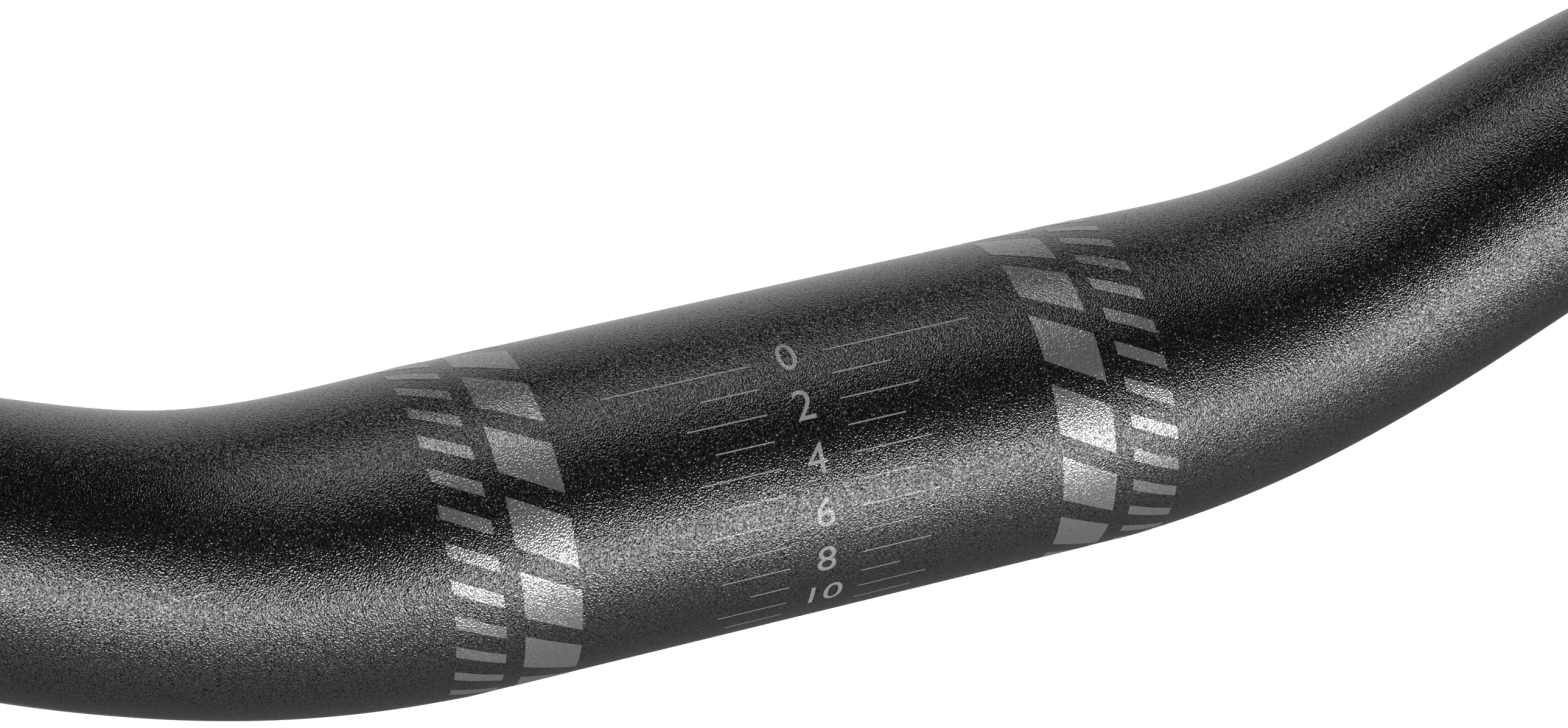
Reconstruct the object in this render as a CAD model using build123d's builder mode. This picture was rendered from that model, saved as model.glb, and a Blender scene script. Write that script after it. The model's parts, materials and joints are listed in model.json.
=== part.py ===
"""Riser handlebar: one butted, tapered and bent aluminium tube.

Millimetres. The origin is the middle of the stem clamp. +X runs along the clamp to the rider's right,
+Y points forwards and +Z upwards, so the arms rise and sweep back from the clamp.
"""

import os
from math import radians, tan

from build123d import *

os.makedirs("parts", exist_ok=True)

# Overall size and the two standard diameters
bar_width = 780.0
clamp_diameter = 31.8
grip_diameter = 22.2

# Straight run that the stem holds
clamp_length = 56.0

# Where the bend hands over to the straight grip, measured from the middle of the clamp
bend_reach = 140.0
bend_rise = 30.0
bend_setback = 10.0

# Direction of the grip, in degrees
back_sweep = 9.0
up_sweep = 5.0

# How long the bend keeps to the clamp's line and to the grip's line before it turns away
clamp_lead = 24.0
grip_lead = 30.0

# Taper: a long cone down to the grip, and a swaged shoulder beside the clamp
taper_start = 6.0
shoulder_start = 8.0
shoulder_length = 30.0
shoulder_drop = 0.83

# Butted wall: thick under the stem, thin along the grips
clamp_wall = 2.4
grip_wall = 1.9

# Edge break on the cut tips, inside and out
tip_break = 0.4

# Number of spans that the bend is lofted through
bend_spans = 16

# Middle line of the right-hand half: the bend leaves the clamp and meets the grip without a step in curvature
grip_direction = Vector(1, -tan(radians(back_sweep)), tan(radians(up_sweep))).normalized()
bend_start = Vector(clamp_length / 2, 0, 0)
bend_end = Vector(bend_reach, -bend_setback, bend_rise)
bend = Edge.make_bezier(
    bend_start,
    bend_start + Vector(clamp_lead, 0, 0),
    bend_start + Vector(2 * clamp_lead, 0, 0),
    bend_end - grip_direction * (2 * grip_lead),
    bend_end - grip_direction * grip_lead,
    bend_end,
)
grip_length = (bar_width / 2 - bend_reach) / grip_direction.X


def within(share):
    """Share of a span, held between its start and its end."""
    return min(max(share, 0.0), 1.0)


def eased(share):
    """Share of a span that starts and ends level."""
    held = within(share)
    return held * held * (3 - 2 * held)


def outer_radius(share):
    """Radius of the bar's skin at a share of the bend's length."""
    along = share * bend.length
    shoulder = shoulder_drop * eased((along - shoulder_start) / shoulder_length)
    cone_drop = (clamp_diameter - grip_diameter) / 2 - shoulder_drop
    cone = cone_drop * within((along - taper_start) / (bend.length - taper_start))
    return clamp_diameter / 2 - shoulder - cone


def inner_radius(share):
    """Radius of the bore at a share of the bend's length."""
    wall = clamp_wall + (grip_wall - clamp_wall) * eased(share)
    return outer_radius(share) - wall


def square_to_bend(share):
    """Plane across the bend, turned alike at every place so that the loft runs true."""
    return Plane(origin=bend @ share, x_dir=(0, 1, 0), z_dir=bend % share)


def rod_along_bar(radius_at):
    """Round rod from tip to tip: the right-hand half along clamp, bend and grip, then its mirror image."""
    with BuildPart() as rod:
        with BuildSketch(Plane.YZ):
            Circle(radius_at(0))
        extrude(amount=clamp_length / 2)
        for span in range(bend_spans + 1):
            with BuildSketch(square_to_bend(span / bend_spans)):
                Circle(radius_at(span / bend_spans))
        loft()
        with BuildSketch(square_to_bend(1)):
            Circle(radius_at(1))
        extrude(amount=grip_length)
        mirror(about=Plane.YZ)
    return rod.part


# The bar: the skin less the bore, with the edges of its two cut tips eased
with BuildPart() as handlebar:
    add(rod_along_bar(outer_radius))
    add(rod_along_bar(inner_radius), mode=Mode.SUBTRACT)
    tips = handlebar.faces().filter_by(GeomType.PLANE)
    chamfer(tips.edges(), tip_break)
handlebar.part.label = "handlebar"
export_step(handlebar.part, "parts/handlebar.step")
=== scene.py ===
"""Riser handlebar for a close studio view: grained black finish, grey stripe bands and a clamp scale."""

import json
import math

import bpy
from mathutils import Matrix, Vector


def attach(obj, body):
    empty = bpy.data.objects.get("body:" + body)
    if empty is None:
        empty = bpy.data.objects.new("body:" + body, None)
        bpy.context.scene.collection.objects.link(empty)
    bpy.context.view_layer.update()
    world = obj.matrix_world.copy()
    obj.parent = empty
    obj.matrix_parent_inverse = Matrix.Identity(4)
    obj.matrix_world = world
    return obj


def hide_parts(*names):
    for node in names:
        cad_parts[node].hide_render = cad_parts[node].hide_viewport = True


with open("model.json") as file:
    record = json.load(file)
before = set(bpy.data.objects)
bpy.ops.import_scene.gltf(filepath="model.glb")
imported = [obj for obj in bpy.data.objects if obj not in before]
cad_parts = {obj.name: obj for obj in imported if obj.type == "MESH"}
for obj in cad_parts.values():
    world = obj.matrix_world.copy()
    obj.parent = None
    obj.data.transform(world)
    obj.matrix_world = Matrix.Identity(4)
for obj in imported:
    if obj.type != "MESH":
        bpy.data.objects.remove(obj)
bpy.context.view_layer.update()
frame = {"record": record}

MM = 0.001
BODY = "root"
SIDES = {"left": -1, "right": 1}

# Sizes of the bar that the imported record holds
mounts = {mount["name"]: mount for mount in frame["record"]["mounts"]}
CLAMP_RADIUS = mounts["stem_clamp"]["dims"]["r_mm"] * MM
CLAMP_HALF = mounts["stem_clamp"]["dims"]["length_mm"] / 2 * MM
GRIP_RADIUS = mounts["grip_right"]["dims"]["r_mm"] * MM
GRIP_SKIN_LENGTH = mounts["grip_right"]["dims"]["length_mm"] * MM
GRIP_DIRECTION = Vector(mounts["grip_right"]["axis"])
BORE_RADIUS = mounts["bar_end_right"]["dims"]["r_mm"] * MM

# Sizes of the bend, the taper and the wall, the same as in the part's source
BEND_REACH = 140.0 * MM
BEND_RISE = 30.0 * MM
BEND_SETBACK = 10.0 * MM
BEND_END = Vector((BEND_REACH, -BEND_SETBACK, BEND_RISE))
CLAMP_LEAD = 24.0 * MM
GRIP_LEAD = 30.0 * MM
TAPER_START = 6.0 * MM
SHOULDER_START = 8.0 * MM
SHOULDER_LENGTH = 30.0 * MM
SHOULDER_DROP = 0.83 * MM
CLAMP_WALL = 2.4 * MM
TIP_BREAK = 0.4 * MM
GRIP_LENGTH = GRIP_SKIN_LENGTH + TIP_BREAK

# How finely the bar is modelled
BAR_SIDES = 160
CLAMP_STEP = 4.0 * MM
BEND_STEP = 1.25 * MM
GRIP_STEP = 9.0 * MM
BORE_STEP = 6.0 * MM
BEND_SAMPLES = 600
SLOPE_STEP = 0.05 * MM
MERGE_DISTANCE = 0.001 * MM
SMOOTH_ANGLE = math.radians(30)

# The ink lies this far into and out of the skin
INK_DEPTH = 0.012 * MM
INK_HEIGHT = 0.018 * MM

# Stripe band: slanted blocks in a ring on each side of the clamp
STRIPE_COUNT = 14
STRIPE_CENTRE = 27.0 * MM
STRIPE_WIDTH = 5.58 * MM
STRIPE_ANGLE = math.radians(17.4)
STRIPE_SLANT = math.radians(11.8)
STRIPE_PHASE = {"left": math.radians(56.4), "right": math.radians(51.9)}

# Hatch band: slim slanted dashes in a ring outside each stripe band
HATCH_COUNT = 28
HATCH_CENTRE = 34.0 * MM
HATCH_WIDTH = 4.8 * MM
HATCH_ANGLE = math.radians(5.0)
HATCH_SLANT = math.radians(9.0)
HATCH_PHASE = {"left": math.radians(2.0), "right": math.radians(5.0)}

# Clamp scale: lines on both sides of a column of numbers, from the long line at the top downwards
LINE_TOP = math.radians(71.05)
LINE_PITCH = math.radians(9.41)
LINE_WIDTH = 0.125 * MM
LINE_START = 3.65 * MM
LINE_ENDS = [end * MM for end in (18.4, 9.5, 11.6, 9.5, 11.6, 9.5, 11.6, 9.5, 10.6, 7.6, 10.6, 9.5)]
NUMBER_HEIGHT = 3.0 * MM
NUMBER_STEP = 2

# A digit's height as a share of its type size
DIGIT_SHARE = 0.7

# How finely the ink is cut: patches along and around the bar, numbers along their outline and their height
BAND_CUTS = (6, 10)
LINE_CUTS = (2, 2)
OUTLINE_CUTS = 6
NUMBER_SLICES = 12

# Grain that the coating and the ink share
GRAIN_TURN = (0.6, 0.5, 0.4)
GRAIN_SCALE = 6500.0
GRAIN_POWER = 2.0
DULLEST_GRAIN = 0.2
GLOSSIEST_GRAIN = 0.8
GRAIN_ROUGHNESS = 0.28

# Colour, relief and refraction of the coating and the two inks
BLACK_COLOUR = (0.002, 0.002, 0.0022)
GREY_COLOUR = (0.11, 0.11, 0.11)
PALE_COLOUR = (0.3, 0.3, 0.3)
COATING_RELIEF = 0.058 * MM
INK_RELIEF = 0.05 * MM
COATING_IOR = 1.77
GREY_IOR = 2.5

# Floor and surroundings
FLOOR_DROP = 0.35
FLOOR_SIZE = 40.0
FLOOR_SHADE = 0.8
FLOOR_GLOW = 0.9
WORLD_LEVEL = 0.12

# Cards that stand round the bar, by their place and their shade. They show only in the bar's reflections,
# so their shades are painted reflections: dark for the surroundings, and grey for the floor below, darker
# under the bar
CARD_SIDE = 1.0
CARD_FRONT = -1.2
CARD_BACK = 1.1
CARD_TOP = 1.1
CARD_LOW = -0.3
SIDE_CARD_BACK = 1.0
SIDE_CARD_FOOT = 0.0
BACK_CARD_FOOT = 0.6
LOW_CARDS_MEET = -0.1
LOW_CARDS_BACK = 0.25
PAINTED_DARK_REFLECTION = 0.02
PAINTED_FLOOR_REFLECTION_FRONT = 0.62
PAINTED_FLOOR_REFLECTION_UNDER_BAR = 0.5

# Camera: its angles are in degrees, its lens and sensor in millimetres
CAMERA_AZIMUTH = -20.891
CAMERA_ELEVATION = 36.048
CAMERA_DISTANCE = 395.8 * MM
CAMERA_TARGET = Vector((1.711, 0.0, 10.406)) * MM
CAMERA_LENS = 95.23
CAMERA_SENSOR = 36.0
NEAREST_SEEN = 0.01
FARTHEST_SEEN = 100.0


def bezier_point(corners, share):
    """Point on the Bezier curve that has these control corners."""
    order = len(corners) - 1
    point = Vector((0, 0, 0))
    for index, corner in enumerate(corners):
        weight = math.comb(order, index) * share ** index * (1 - share) ** (order - index)
        point += corner * weight
    return point


def measure_bend():
    """Points of the right-hand bend and their distances from its start."""
    start = Vector((CLAMP_HALF, 0, 0))
    lead = Vector((CLAMP_LEAD, 0, 0))
    corners = [
        start,
        start + lead,
        start + 2 * lead,
        BEND_END - 2 * GRIP_LEAD * GRIP_DIRECTION,
        BEND_END - GRIP_LEAD * GRIP_DIRECTION,
        BEND_END,
    ]
    points = [bezier_point(corners, index / BEND_SAMPLES) for index in range(BEND_SAMPLES + 1)]
    reached = [0.0]
    for before, after in zip(points, points[1:]):
        reached.append(reached[-1] + (after - before).length)
    return points, reached


BEND_POINTS, BEND_REACHED = measure_bend()
BEND_LENGTH = BEND_REACHED[-1]
HALF_LENGTH = CLAMP_HALF + BEND_LENGTH + GRIP_LENGTH


def within(share):
    """Share of a span, held between its start and its end."""
    return min(max(share, 0.0), 1.0)


def eased(share):
    """Share of a span that starts and ends level."""
    held = within(share)
    return held * held * (3 - 2 * held)


def middle_line(along):
    """Point on the bar's middle line at a signed distance from the middle of the clamp."""
    distance = abs(along)
    if distance <= CLAMP_HALF:
        point = Vector((distance, 0, 0))
    elif distance >= CLAMP_HALF + BEND_LENGTH:
        point = BEND_END + GRIP_DIRECTION * (distance - CLAMP_HALF - BEND_LENGTH)
    else:
        into = distance - CLAMP_HALF
        after = next(index for index, reached in enumerate(BEND_REACHED) if reached >= into)
        before = max(after - 1, 0)
        span = BEND_REACHED[after] - BEND_REACHED[before]
        share = (into - BEND_REACHED[before]) / span if span else 0.0
        point = BEND_POINTS[before].lerp(BEND_POINTS[after], share)
    return Vector((math.copysign(point.x, along), point.y, point.z))


def skin_radius(along):
    """Outer radius at a distance from the middle of the clamp: clamp, shoulder and cone, then grip."""
    into = abs(along) - CLAMP_HALF
    shoulder = SHOULDER_DROP * eased((into - SHOULDER_START) / SHOULDER_LENGTH)
    cone_drop = CLAMP_RADIUS - GRIP_RADIUS - SHOULDER_DROP
    cone = cone_drop * within((into - TAPER_START) / (BEND_LENGTH - TAPER_START))
    return CLAMP_RADIUS - shoulder - cone


def bore_radius(along):
    """Inner radius: the wall is thick under the stem and thin along the grips."""
    grip_wall = GRIP_RADIUS - BORE_RADIUS
    wall = CLAMP_WALL + (grip_wall - CLAMP_WALL) * eased((abs(along) - CLAMP_HALF) / BEND_LENGTH)
    return skin_radius(along) - wall


def on_skin(along, angle, lift):
    """Point at a distance along the bar, an angle up from the rider's side and a height over the skin."""
    line = (middle_line(along + SLOPE_STEP) - middle_line(along - SLOPE_STEP)).normalized()
    rider = Vector((0, -1, 0))
    rider = (rider - line * rider.dot(line)).normalized()
    upward = rider.cross(line)
    radius = skin_radius(along) + lift
    return middle_line(along) + (rider * math.cos(angle) + upward * math.sin(angle)) * radius


def deselect_all():
    """Goes back to object mode, with nothing selected."""
    if bpy.context.object and bpy.context.object.mode != "OBJECT":
        bpy.ops.object.mode_set(mode="OBJECT")
    bpy.ops.object.select_all(action="DESELECT")


def select_only(*pieces):
    """Selects these pieces and makes the first one active."""
    deselect_all()
    for piece in pieces:
        piece.select_set(True)
    bpy.context.view_layer.objects.active = pieces[0]


def join(name, pieces):
    """Joins pieces into one mesh with that name."""
    select_only(*pieces)
    bpy.ops.object.join()
    joined = bpy.context.object
    joined.name = name
    joined.data.name = name
    return joined


def apply_modifier(piece, kind, **settings):
    """Adds a modifier with these settings and applies it."""
    select_only(piece)
    modifier = piece.modifiers.new(kind.title(), kind)
    for setting, value in settings.items():
        setattr(modifier, setting, value)
    bpy.ops.object.modifier_apply(modifier=modifier.name)


def stations(step_clamp, step_bend, step_grip):
    """Distances along the bar, from tip to tip, at which a ring is set."""
    right = [0.0]
    lengths = (CLAMP_HALF, BEND_LENGTH, GRIP_SKIN_LENGTH)
    for length, step in zip(lengths, (step_clamp, step_bend, step_grip)):
        count = max(round(length / step), 1)
        begin = right[-1]
        right += [begin + length * (index + 1) / count for index in range(count)]
    right.append(HALF_LENGTH)
    return [-along for along in reversed(right[1:])] + right


def tube(name, along_list, radius_at, tip_change):
    """Round tube on the bar's middle line, with its own radius at each ring and its tips eased."""
    deselect_all()
    bpy.ops.curve.primitive_bezier_circle_add(radius=1.0)
    ring = bpy.context.object
    ring.data.resolution_u = BAR_SIDES // len(ring.data.splines[0].bezier_points)
    deselect_all()
    bpy.ops.curve.primitive_nurbs_path_add()
    path = bpy.context.object
    path.data.dimensions = "3D"
    path.data.twist_mode = "Z_UP"
    path.data.splines.clear()
    line = path.data.splines.new("POLY")
    line.points.add(len(along_list) - 1)
    for point, along in zip(line.points, along_list):
        at_tip = abs(along) > HALF_LENGTH - TIP_BREAK / 2
        point.co = (*middle_line(along), 1.0)
        point.radius = radius_at(along) + (tip_change if at_tip else 0.0)
    path.data.bevel_mode = "OBJECT"
    path.data.bevel_object = ring
    select_only(path)
    bpy.ops.object.convert(target="MESH")
    made = bpy.context.object
    made.name = name
    bpy.data.objects.remove(ring)
    return made


def close_tip(piece, side):
    """Carries the skin's edge at one tip inwards as a flat ring, until it meets the bore."""
    tip = middle_line(side * HALF_LENGTH)
    skin_edge = GRIP_RADIUS - TIP_BREAK
    bore_edge = BORE_RADIUS + TIP_BREAK
    select_only(piece)
    bpy.ops.object.mode_set(mode="EDIT")
    bpy.ops.mesh.select_mode(type="EDGE")
    bpy.ops.mesh.select_all(action="DESELECT")
    bpy.ops.mesh.select_non_manifold(extend=False)
    bpy.ops.object.mode_set(mode="OBJECT")
    vertices = piece.data.vertices
    for edge in piece.data.edges:
        reach = (vertices[edge.vertices[0]].co - tip).length
        edge.select = edge.select and abs(reach - skin_edge) < TIP_BREAK / 4
    bpy.ops.object.mode_set(mode="EDIT")
    bpy.ops.mesh.extrude_edges_move()
    share = bore_edge / skin_edge
    bpy.ops.transform.resize(value=(share, share, share), center_override=tip)
    bpy.ops.object.mode_set(mode="OBJECT")


def make_bar():
    """The bent, tapered tube: skin, bore and two cut tips as one closed mesh."""
    skin = tube("bar", stations(CLAMP_STEP, BEND_STEP, GRIP_STEP), skin_radius, -TIP_BREAK)
    bore = tube("bore", stations(BORE_STEP, BORE_STEP, GRIP_STEP), bore_radius, TIP_BREAK)
    bar = join("bar", [skin, bore])
    for side in SIDES.values():
        close_tip(bar, side)
    select_only(bar)
    bpy.ops.object.mode_set(mode="EDIT")
    bpy.ops.mesh.select_all(action="SELECT")
    bpy.ops.mesh.remove_doubles(threshold=MERGE_DISTANCE)
    bpy.ops.mesh.normals_make_consistent(inside=False)
    bpy.ops.object.mode_set(mode="OBJECT")
    bpy.ops.object.shade_smooth_by_angle(angle=SMOOTH_ANGLE)
    return bar


def flat_patch(length, height, slant, length_cuts, height_cuts):
    """Flat patch of ink: its length lies along X, its height along Y, and the slant drops its far end."""
    deselect_all()
    bpy.ops.mesh.primitive_grid_add(x_subdivisions=length_cuts, y_subdivisions=height_cuts, size=1.0)
    patch = bpy.context.object
    for vertex in patch.data.vertices:
        share = vertex.co.x
        vertex.co = (share * length, vertex.co.y * height - share * slant, 0.0)
    return patch


def copy_patch(patch, along, around):
    """Copy of a flat patch, with its own mesh, moved along the bar and around it."""
    copy = patch.copy()
    copy.data = patch.data.copy()
    bpy.context.scene.collection.objects.link(copy)
    for vertex in copy.data.vertices:
        vertex.co += Vector((along, around, 0.0))
    return copy


def wrap(piece):
    """Gives flat ink its thickness and lays it round the bar, reading X as along and Y as angle."""
    apply_modifier(piece, "SOLIDIFY", thickness=INK_DEPTH + INK_HEIGHT, offset=0.0)
    middle = (INK_HEIGHT - INK_DEPTH) / 2
    for vertex in piece.data.vertices:
        vertex.co = on_skin(vertex.co.x, vertex.co.y, vertex.co.z + middle)
    select_only(piece)
    bpy.ops.object.mode_set(mode="EDIT")
    bpy.ops.mesh.select_all(action="SELECT")
    bpy.ops.mesh.normals_make_consistent(inside=False)
    bpy.ops.object.mode_set(mode="OBJECT")
    bpy.ops.object.shade_smooth_by_angle(angle=SMOOTH_ANGLE)
    return piece


def make_band(name, side, count, centre, width, angle, slant, phase):
    """Ring of slanted patches round the bar."""
    patch = flat_patch(width, angle, slant, *BAND_CUTS)
    pitch = 2 * math.pi / count
    copies = [copy_patch(patch, side * centre, phase + index * pitch) for index in range(count)]
    bpy.data.objects.remove(patch)
    return wrap(join(name, copies))


def make_lines():
    """Scale lines on both sides of the numbers."""
    lines = []
    for index, end in enumerate(LINE_ENDS):
        patch = flat_patch(end - LINE_START, LINE_WIDTH / CLAMP_RADIUS, 0.0, *LINE_CUTS)
        middle = (end + LINE_START) / 2
        for side in SIDES.values():
            lines.append(copy_patch(patch, side * middle, LINE_TOP - index * LINE_PITCH))
        bpy.data.objects.remove(patch)
    return wrap(join("scale_lines", lines))


def make_number(value, angle):
    """One plain number, flat, with its height along Y in radians of the clamp."""
    deselect_all()
    bpy.ops.object.text_add()
    text = bpy.context.object
    text.data.body = str(value)
    text.data.size = NUMBER_HEIGHT / DIGIT_SHARE
    text.data.align_x = "CENTER"
    text.data.align_y = "CENTER"
    text.data.resolution_u = OUTLINE_CUTS
    bpy.ops.object.convert(target="MESH")
    number = bpy.context.object
    bpy.ops.object.mode_set(mode="EDIT")
    for index in range(1, NUMBER_SLICES):
        level = (index / NUMBER_SLICES - 0.5) * NUMBER_HEIGHT
        bpy.ops.mesh.select_all(action="SELECT")
        bpy.ops.mesh.bisect(plane_co=(0, level, 0), plane_no=(0, 1, 0))
    bpy.ops.mesh.select_all(action="SELECT")
    bpy.ops.mesh.remove_doubles(threshold=MERGE_DISTANCE)
    bpy.ops.object.mode_set(mode="OBJECT")
    for vertex in number.data.vertices:
        vertex.co.y = vertex.co.y / CLAMP_RADIUS + angle
    return number


def make_numbers():
    """Column of even numbers beside every second pair of lines."""
    numbers = []
    for value in range(0, len(LINE_ENDS), NUMBER_STEP):
        numbers.append(make_number(value, LINE_TOP - value * LINE_PITCH))
    return wrap(join("scale_numbers", numbers))


def node_setter(tree):
    """Short way to add a node to a tree with its values set."""
    def add(kind, **values):
        node = tree.nodes.new(kind)
        for name, value in values.items():
            if name in node.inputs:
                node.inputs[name].default_value = value
            else:
                setattr(node, name, value)
        return node
    return add


def grained_finish(name, colour, depth, ior):
    """Satin finish over a finely blasted surface: small dimples, each with its own glint and gloss."""
    material = bpy.data.materials.new(name)
    material.use_nodes = True
    tree = material.node_tree
    tree.nodes.clear()
    add = node_setter(tree)
    link = tree.links.new
    place = add("ShaderNodeTexCoord")
    turn = add("ShaderNodeMapping", Rotation=GRAIN_TURN)
    dimples = add("ShaderNodeTexNoise", Scale=GRAIN_SCALE, Detail=0.0)
    relief = add("ShaderNodeMath", operation="POWER")
    relief.inputs[1].default_value = GRAIN_POWER
    bump = add("ShaderNodeBump", Strength=1.0, Distance=depth)
    gloss = add("ShaderNodeMapRange")
    gloss.inputs["From Min"].default_value = DULLEST_GRAIN
    gloss.inputs["From Max"].default_value = GLOSSIEST_GRAIN
    shader = add("ShaderNodeBsdfPrincipled", Roughness=GRAIN_ROUGHNESS, IOR=ior)
    shader.inputs["Base Color"].default_value = (*colour, 1.0)
    output = add("ShaderNodeOutputMaterial")
    link(place.outputs["Object"], turn.inputs["Vector"])
    link(turn.outputs["Vector"], dimples.inputs["Vector"])
    link(dimples.outputs["Fac"], relief.inputs[0])
    link(relief.outputs["Value"], bump.inputs["Height"])
    link(bump.outputs["Normal"], shader.inputs["Normal"])
    link(dimples.outputs["Fac"], gloss.inputs["Value"])
    link(gloss.outputs["Result"], shader.inputs["Specular IOR Level"])
    link(shader.outputs["BSDF"], output.inputs["Surface"])
    return material


def dress(piece, material):
    """Gives a piece its finish and lets it ride on the bar's body."""
    piece.data.materials.clear()
    piece.data.materials.append(material)
    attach(piece, BODY)


def add_background_rays(tree):
    """Socket that is one for the rays that show the background: seen, mirrored or through glass."""
    add = node_setter(tree)
    rays = add("ShaderNodeLightPath")
    seen = rays.outputs["Is Camera Ray"]
    for kind in ("Is Glossy Ray", "Is Transmission Ray"):
        either = add("ShaderNodeMath", operation="MAXIMUM")
        tree.links.new(seen, either.inputs[0])
        tree.links.new(rays.outputs[kind], either.inputs[1])
        seen = either.outputs["Value"]
    return seen


def plain_paint(name, shade):
    """Matt grey paint for the things in the studio."""
    material = bpy.data.materials.new(name)
    material.use_nodes = True
    tree = material.node_tree
    tree.nodes.clear()
    add = node_setter(tree)
    paint = add("ShaderNodeBsdfDiffuse", Color=(shade, shade, shade, 1.0))
    output = add("ShaderNodeOutputMaterial")
    tree.links.new(paint.outputs["BSDF"], output.inputs["Surface"])
    return material


def make_floor():
    """Pale floor that shows white, with the bar's shadow kept on it."""
    deselect_all()
    bpy.ops.mesh.primitive_plane_add(size=FLOOR_SIZE, location=(0, 0, -FLOOR_DROP))
    floor = bpy.context.object
    floor.name = "floor"
    material = plain_paint("pale_floor", FLOOR_SHADE)
    tree = material.node_tree
    add = node_setter(tree)
    paint = next(node for node in tree.nodes if node.type == "BSDF_DIFFUSE")
    output = next(node for node in tree.nodes if node.type == "OUTPUT_MATERIAL")
    glow = add("ShaderNodeEmission", Color=(1.0, 1.0, 1.0, 1.0))
    level = add("ShaderNodeMath", operation="MULTIPLY")
    level.inputs[1].default_value = FLOOR_GLOW
    both = add("ShaderNodeAddShader")
    tree.links.new(add_background_rays(tree), level.inputs[0])
    tree.links.new(level.outputs["Value"], glow.inputs["Strength"])
    tree.links.new(paint.outputs["BSDF"], both.inputs[0])
    tree.links.new(glow.outputs["Emission"], both.inputs[1])
    tree.links.new(both.outputs["Shader"], output.inputs["Surface"])
    floor.data.materials.append(material)


def make_world():
    """Even dim surroundings that show white as a background."""
    world = bpy.data.worlds.new("studio")
    world.use_nodes = True
    bpy.context.scene.world = world
    tree = world.node_tree
    tree.nodes.clear()
    add = node_setter(tree)
    level = add("ShaderNodeMapRange")
    level.inputs["To Min"].default_value = WORLD_LEVEL
    level.inputs["To Max"].default_value = 1.0
    background = add("ShaderNodeBackground", Color=(1.0, 1.0, 1.0, 1.0))
    output = add("ShaderNodeOutputWorld")
    tree.links.new(add_background_rays(tree), level.inputs["Value"])
    tree.links.new(level.outputs["Result"], background.inputs["Strength"])
    tree.links.new(background.outputs["Background"], output.inputs["Surface"])


def make_card(name, low, high, shade):
    """Matt card square to one axis, between two corners: it shows only in the bar's reflections, so its
    shade is a painted reflection.
    """
    deselect_all()
    bpy.ops.mesh.primitive_plane_add(size=1.0)
    card = bpy.context.object
    card.name = name
    spans = [axis for axis in range(3) if low[axis] != high[axis]]
    for vertex in card.data.vertices:
        corner = Vector(low)
        for axis, share in zip(spans, (vertex.co.x + 0.5, vertex.co.y + 0.5)):
            corner[axis] += (high[axis] - low[axis]) * share
        vertex.co = corner
    card.data.materials.append(plain_paint(name + "_paint", shade))
    card.visible_camera = False
    card.visible_diffuse = False
    card.visible_transmission = False
    card.visible_shadow = False


def outward_direction(azimuth, elevation):
    """Direction away from the clamp, in degrees: round from the rider's side to the right, and upwards."""
    turn = math.radians(azimuth)
    rise = math.radians(elevation)
    return Vector((math.sin(turn) * math.cos(rise), -math.cos(turn) * math.cos(rise), math.sin(rise)))


def make_softbox(name, azimuth, elevation, distance, width, height, radiance):
    """Lamp that faces the bar, with the same radiance whatever its size."""
    deselect_all()
    bpy.ops.object.light_add(type="AREA")
    lamp = bpy.context.object
    lamp.name = name
    lamp.data.shape = "RECTANGLE"
    lamp.data.size = width
    lamp.data.size_y = height
    lamp.data.energy = radiance * math.pi * width * height
    outward = outward_direction(azimuth, elevation)
    lamp.location = outward * distance
    lamp.rotation_euler = outward.to_track_quat("Z", "Y").to_euler()
    lamp.visible_camera = False


def make_camera():
    """Camera at the photograph's place: on the rider's side, to the left and above."""
    outward = outward_direction(CAMERA_AZIMUTH, CAMERA_ELEVATION)
    deselect_all()
    bpy.ops.object.camera_add()
    camera = bpy.context.object
    camera.location = CAMERA_TARGET + outward * CAMERA_DISTANCE
    camera.rotation_euler = outward.to_track_quat("Z", "Y").to_euler()
    camera.data.sensor_width = CAMERA_SENSOR
    camera.data.lens = CAMERA_LENS
    camera.data.clip_start = NEAREST_SEEN
    camera.data.clip_end = FARTHEST_SEEN
    bpy.context.scene.camera = camera


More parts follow.
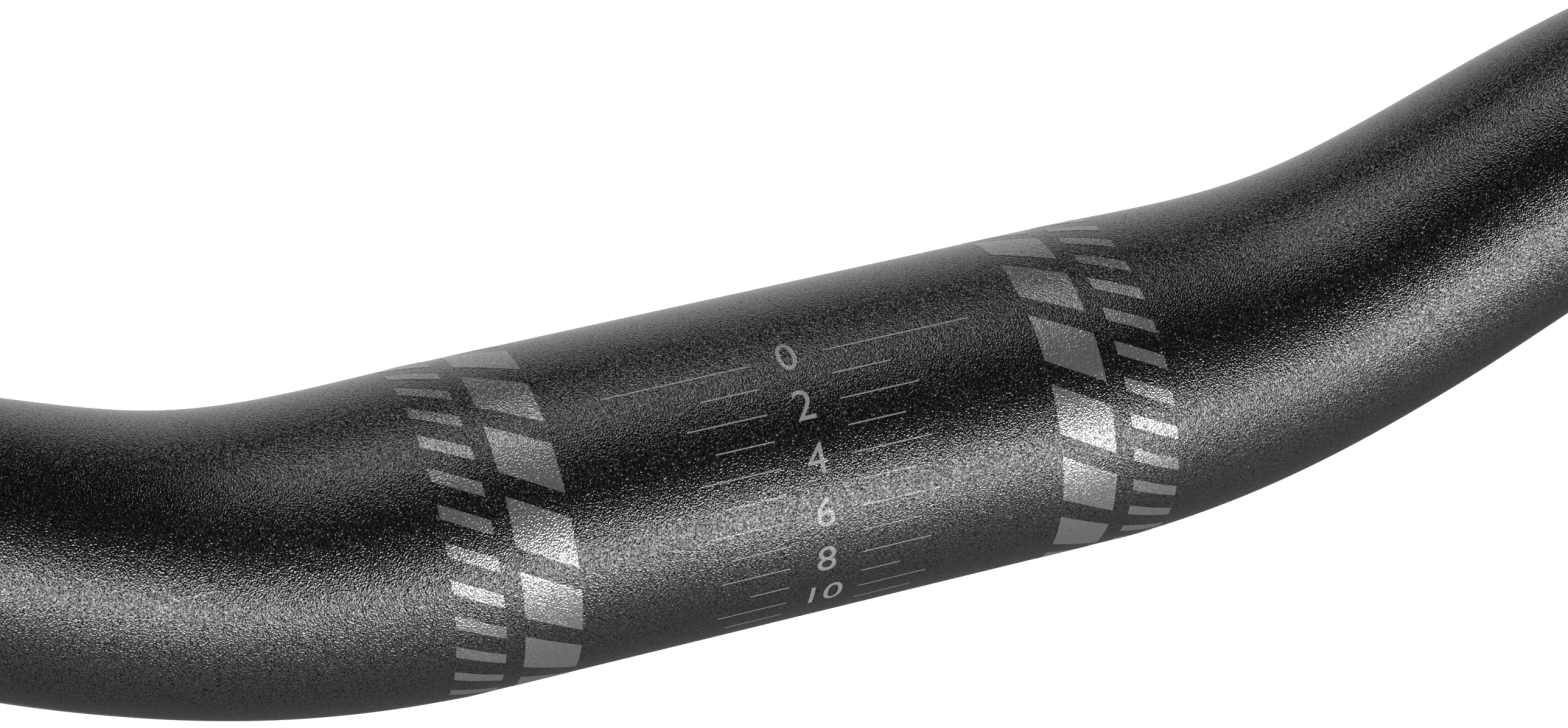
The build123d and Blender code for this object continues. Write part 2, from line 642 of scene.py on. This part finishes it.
# The bar and its print
black = grained_finish("black_grain", BLACK_COLOUR, COATING_RELIEF, COATING_IOR)
grey = grained_finish("grey_ink", GREY_COLOUR, INK_RELIEF, GREY_IOR)
pale = grained_finish("pale_ink", PALE_COLOUR, INK_RELIEF, COATING_IOR)

bar = make_bar()
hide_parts("handlebar")
dress(bar, black)
for side_name, side in SIDES.items():
    stripes = make_band("stripe_band_" + side_name, side, STRIPE_COUNT, STRIPE_CENTRE, STRIPE_WIDTH,
                        STRIPE_ANGLE, STRIPE_SLANT, STRIPE_PHASE[side_name])
    dress(stripes, grey)
    hatch = make_band("hatch_band_" + side_name, side, HATCH_COUNT, HATCH_CENTRE, HATCH_WIDTH,
                      HATCH_ANGLE, HATCH_SLANT, HATCH_PHASE[side_name])
    dress(hatch, grey)
dress(make_lines(), pale)
dress(make_numbers(), pale)

# The studio
make_floor()
make_world()
# Painted reflections: cards seen only in the bar's reflections, dark all round, and grey below with a
# darker part under the bar
for side_name, side in SIDES.items():
    make_card(side_name + "_card", (side * CARD_SIDE, CARD_FRONT, SIDE_CARD_FOOT),
              (side * CARD_SIDE, SIDE_CARD_BACK, CARD_TOP), PAINTED_DARK_REFLECTION)
make_card("front_card", (-CARD_SIDE, CARD_FRONT, CARD_LOW), (CARD_SIDE, CARD_FRONT, CARD_TOP), PAINTED_DARK_REFLECTION)
make_card("ceiling_card", (-CARD_SIDE, CARD_FRONT, CARD_TOP), (CARD_SIDE, CARD_BACK, CARD_TOP), PAINTED_DARK_REFLECTION)
make_card("back_card", (-CARD_SIDE, CARD_BACK, BACK_CARD_FOOT),
          (CARD_SIDE, CARD_BACK, CARD_TOP), PAINTED_DARK_REFLECTION)
make_card("front_low_card", (-CARD_SIDE, CARD_FRONT, CARD_LOW),
          (CARD_SIDE, LOW_CARDS_MEET, CARD_LOW), PAINTED_FLOOR_REFLECTION_FRONT)
make_card("back_low_card", (-CARD_SIDE, LOW_CARDS_MEET, CARD_LOW),
          (CARD_SIDE, LOW_CARDS_BACK, CARD_LOW), PAINTED_FLOOR_REFLECTION_UNDER_BAR)
make_softbox("front_softbox", azimuth=16.0, elevation=-2.5, distance=0.9,
             width=0.58, height=0.29, radiance=13.0)
make_softbox("top_softbox", azimuth=180.0, elevation=85.0, distance=0.8,
             width=0.62, height=0.36, radiance=3.2)
make_camera()
bpy.context.scene.view_settings.view_transform = "Standard"
